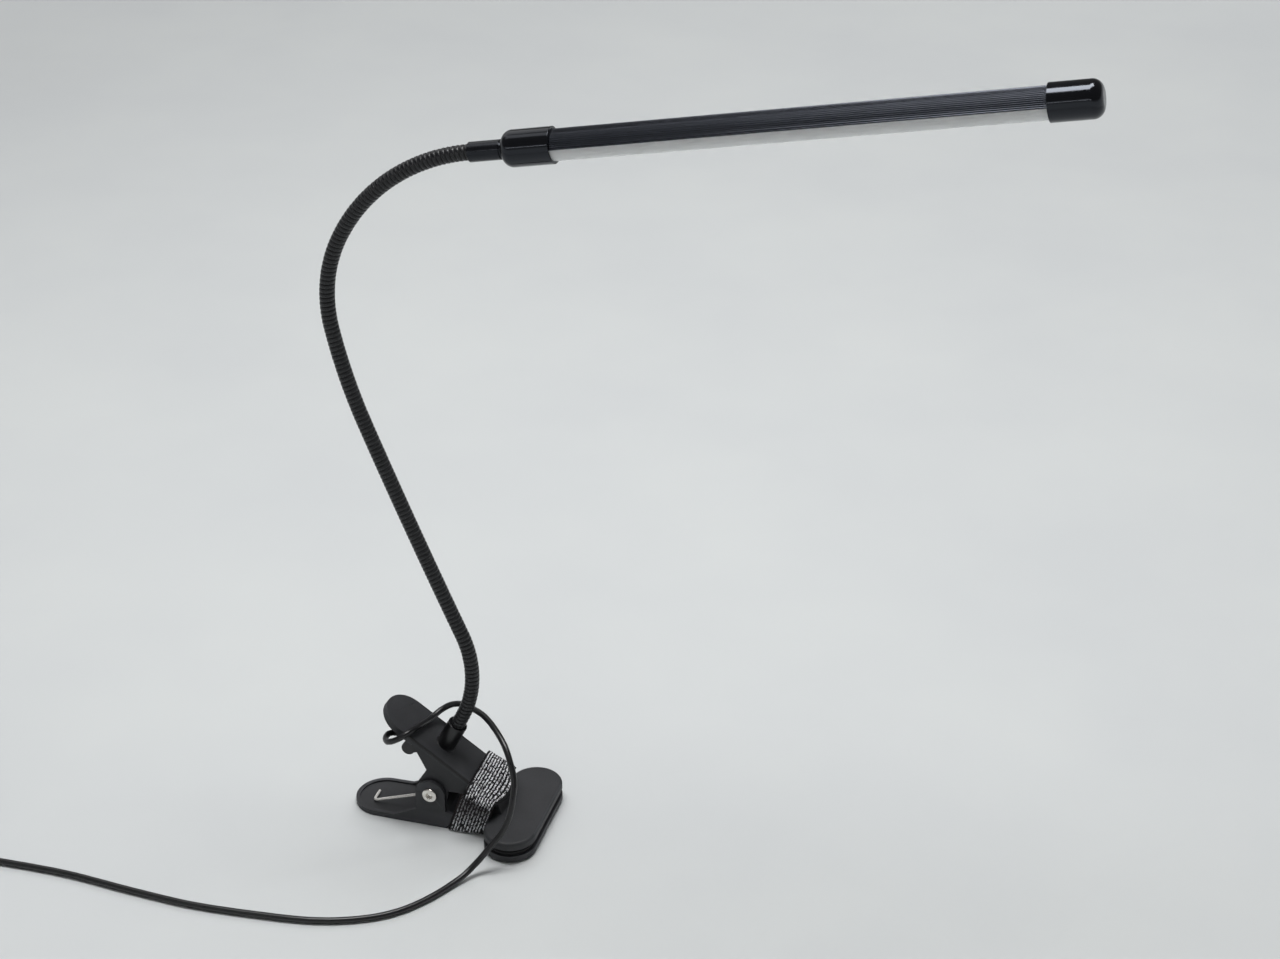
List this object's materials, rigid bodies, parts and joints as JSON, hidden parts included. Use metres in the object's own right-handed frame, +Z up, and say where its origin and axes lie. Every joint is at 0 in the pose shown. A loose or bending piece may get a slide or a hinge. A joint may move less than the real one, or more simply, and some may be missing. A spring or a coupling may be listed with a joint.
{
  "type": "clip-on gooseneck lamp",
  "caption": "Sprung clamp of two levers with rubber jaw pads, a ribbed bendable gooseneck and a slim tube light with a lower diffuser; cord with plug.",
  "frame": {"origin": "middle of the lower jaw's flat underside, on the table", "axes": "+X from the finger tabs to the jaws and on to the light's far end, +Y along the hinge pin away from the camera side, +Z up"},
  "size_m": [0.6113, 0.1521, 0.4459],
  "materials": {
    "lever_plastic": "moulded black, fine spark texture",
    "jaw_rubber": "grooved black pad",
    "rivet_nickel": "bright nickel plate",
    "spring_wire": "nickel plated spring wire",
    "band_elastic": "black elastic braid with silver thread",
    "neck_black": "satin black wound steel",
    "zinc_steel": "zinc plated",
    "gland_rubber": "moulded soft",
    "cap_gloss": "gloss black moulding",
    "sleeve_black": "satin black",
    "anodised_black": "black anodised extrusion with fine flutes",
    "diffuser_frost": "frosted translucent polycarbonate",
    "board_white": "white solder mask on an aluminium strip",
    "led_phosphor": "yellow phosphor in a white body",
    "resistor_body": "ceramic with black coat",
    "lead_sheath": "thin insulated wire",
    "cord_sheath": "soft black sheath",
    "strap_black": "woven strap",
    "plug_plastic": "moulded over the plug",
    "plug_steel": "nickel plated shell",
    "plug_insert": "white insert"
  },
  "bodies": {
    "clamp_base": {"lower_lever": "lever_plastic", "lower_jaw_pad": "jaw_rubber", "hinge_rivet": "rivet_nickel", "torsion_spring": "spring_wire", "elastic_band": "band_elastic", "cord_run": "cord_sheath", "cord_coil": "cord_sheath", "coil_tie": "strap_black", "cord_tail": "cord_sheath", "plug_boot": "plug_plastic", "plug_body": "plug_plastic", "plug_shell": "plug_steel", "plug_tongue": "plug_insert"},
    "clamp_top": {"upper_lever": "lever_plastic", "upper_jaw_pad": "jaw_rubber", "neck_ferrule": "zinc_steel", "ferrule_nut": "zinc_steel", "cord_gland": "gland_rubber", "neck_foot": "neck_black", "neck_bend_base": "neck_black"},
    "neck_low": {"neck_run_low": "neck_black", "neck_bend_side": "neck_black"},
    "neck_middle": {"neck_run_mid": "neck_black", "neck_bend_mid": "neck_black"},
    "neck_high": {"neck_run_high": "neck_black", "neck_bend_top": "neck_black"},
    "head": {"neck_end": "neck_black", "head_sleeve": "sleeve_black", "head_nut": "zinc_steel", "rear_cap": "cap_gloss", "tube_profile": "anodised_black", "diffuser": "diffuser_frost", "led_board": "board_white", "led_chips": "led_phosphor", "board_resistors": "resistor_body", "board_leads": "lead_sheath", "front_cap": "cap_gloss"}
  },
  "joints": [
    {"name": "clamp_hinge", "type": "hinge", "parent": "clamp_base", "child": "clamp_top", "pos_m": [-0.047, 0, 0.0202], "axis": [0, -1, 0], "range_deg": [0, 35], "stiffness_Nm_per_rad": 1.2, "springref_deg": -28.65, "deforming": ["torsion_spring", "elastic_band", "cord_run"]},
    {"name": "neck_base_bend", "type": "hinge", "parent": "clamp_top", "child": "neck_low", "pos_m": [-0.02642, 0, 0.08619], "axis": [0, 1, 0], "range_deg": [-40, 40], "deforming": ["neck_bend_base"]},
    {"name": "neck_side_bend", "type": "hinge", "parent": "neck_low", "child": "neck_middle", "pos_m": [-0.04165, 0, 0.13942], "axis": [0.9234, 0, 0.3838], "range_deg": [-40, 40], "deforming": ["neck_bend_side"]},
    {"name": "neck_mid_bend", "type": "hinge", "parent": "neck_middle", "child": "neck_high", "pos_m": [-0.08012, 0, 0.23604], "axis": [0, 1, 0], "range_deg": [-35, 35], "deforming": ["neck_bend_mid"]},
    {"name": "neck_top_bend", "type": "hinge", "parent": "neck_high", "child": "head", "pos_m": [-0.07955, 0, 0.34121], "axis": [0, 1, 0], "range_deg": [-45, 45], "deforming": ["neck_bend_top"]}
  ]
}
